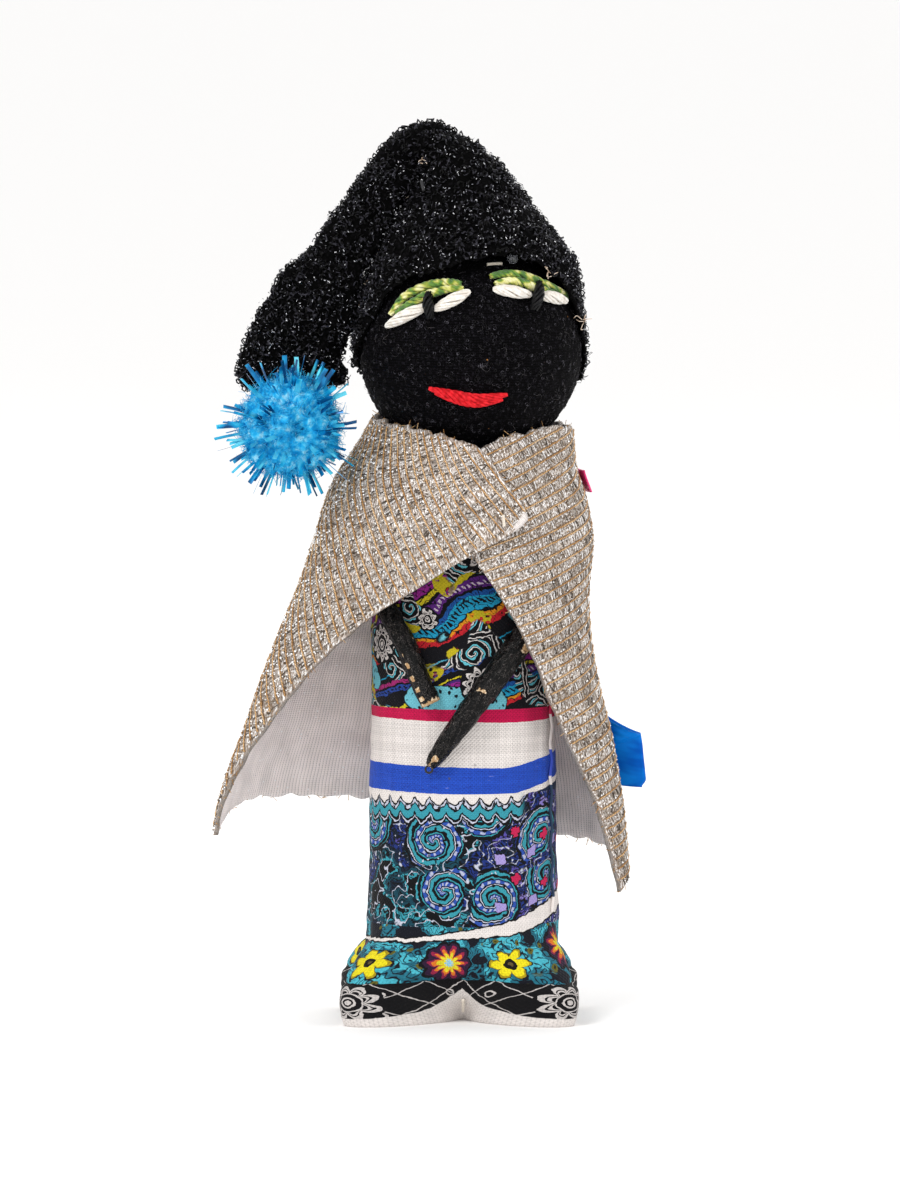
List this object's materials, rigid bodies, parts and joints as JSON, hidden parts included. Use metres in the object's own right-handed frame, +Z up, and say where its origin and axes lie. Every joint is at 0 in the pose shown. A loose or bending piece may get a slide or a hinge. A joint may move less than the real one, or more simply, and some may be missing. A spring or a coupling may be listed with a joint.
{
  "type": "cloth doll",
  "caption": "Stuffed cloth doll with a knit head, a looped cap with a folded tail and tinsel ball, a wrapped metallic cape and leather arms.",
  "frame": {"origin": "middle of the flat underside of the doll's base", "axes": "+Z up along the doll's height, the doll faces -Y, its folded cap tail hangs at -X"},
  "size_m": [0.1008, 0.0599, 0.2063],
  "materials": {
    "print_cotton": "printed quilting cotton, plain weave, matte",
    "stuffing": "loose polyester fibre",
    "thread": "spun sewing thread",
    "cape_metallic": "ribbed cloth with silver and gold metallic yarn, pale knit reverse",
    "satin_blue": "satin ribbon, soft gloss",
    "ribbon_pink": "ribbon",
    "leather_black": "rolled, scuffed to tan at edges",
    "black_knit": "fine knit, matte",
    "floss_white": "twisted embroidery floss",
    "floss_green": "variegated embroidery floss",
    "floss_black": "twisted embroidery floss",
    "floss_red": "twisted embroidery floss",
    "clear_bead": "small clear bead",
    "looped_yarn": "black looped yarn, tight curls with a slight gloss",
    "pom_blue": "fluffy chenille",
    "tinsel_blue": "flat metallic film strands"
  },
  "bodies": {
    "torso": {"body_cover": "print_cotton", "body_stuffing": "stuffing", "side_seam_thread": "thread", "base_stitch_right": "thread", "base_stitch_back": "thread", "base_stitch_left": "thread", "base_stitch_front": "thread", "neck_tie": "thread", "cape": "cape_metallic", "cape_tack_stitch": "thread", "left_shoulder_thread": "thread", "right_shoulder_thread": "thread", "ribbon_loop": "satin_blue", "ribbon_stitch": "thread", "pink_tab": "ribbon_pink"},
    "left_arm": {"left_arm": "leather_black"},
    "right_arm": {"right_arm": "leather_black", "right_arm_ring": "leather_black"},
    "head": {"head_cover": "black_knit", "head_stuffing": "stuffing", "left_eye_white_outer": "floss_white", "left_eye_white_inner": "floss_white", "left_eye_lid_upper": "floss_green", "left_eye_lid_lower": "floss_green", "left_eye_iris": "floss_black", "right_eye_white_outer": "floss_white", "right_eye_white_inner": "floss_white", "right_eye_lid_upper": "floss_green", "right_eye_lid_lower": "floss_green", "right_eye_iris": "floss_black", "mouth_upper_strand": "floss_red", "mouth_lower_strand": "floss_red", "forehead_bead": "clear_bead", "forehead_stitch": "thread", "hat_cap": "looped_yarn", "hat_fold_stitch": "thread"},
    "hat_tail": {"hat_tail": "looped_yarn"},
    "pompom": {"pompom_thread": "thread", "pompom_core": "pom_blue", "pompom_tinsel": "tinsel_blue"}
  },
  "joints": [
    {"name": "head_turn", "type": "hinge", "parent": "torso", "child": "head", "pos_m": [0.0018, 0, 0.124], "axis": [0, 0, 1], "range_deg": [-12, 20]},
    {"name": "tail_fold", "type": "hinge", "parent": "head", "child": "hat_tail", "pos_m": [-0.0143, -0.001, 0.2005], "axis": [0, 1, 0], "range_deg": [0, 35]},
    {"name": "pompom_swing", "type": "hinge", "parent": "hat_tail", "child": "pompom", "pos_m": [-0.0393, -0.0062, 0.1475], "axis": [0, 1, 0], "range_deg": [-6, 25]},
    {"name": "left_arm_swing", "type": "hinge", "parent": "torso", "child": "left_arm", "pos_m": [-0.022, -0.002, 0.1142], "axis": [0, 0.7071, 0.7071], "range_deg": [-12, 25]},
    {"name": "right_arm_swing", "type": "hinge", "parent": "torso", "child": "right_arm", "pos_m": [0.0234, -0.002, 0.1112], "axis": [0, 0.7071, 0.7071], "range_deg": [0, 20]}
  ]
}
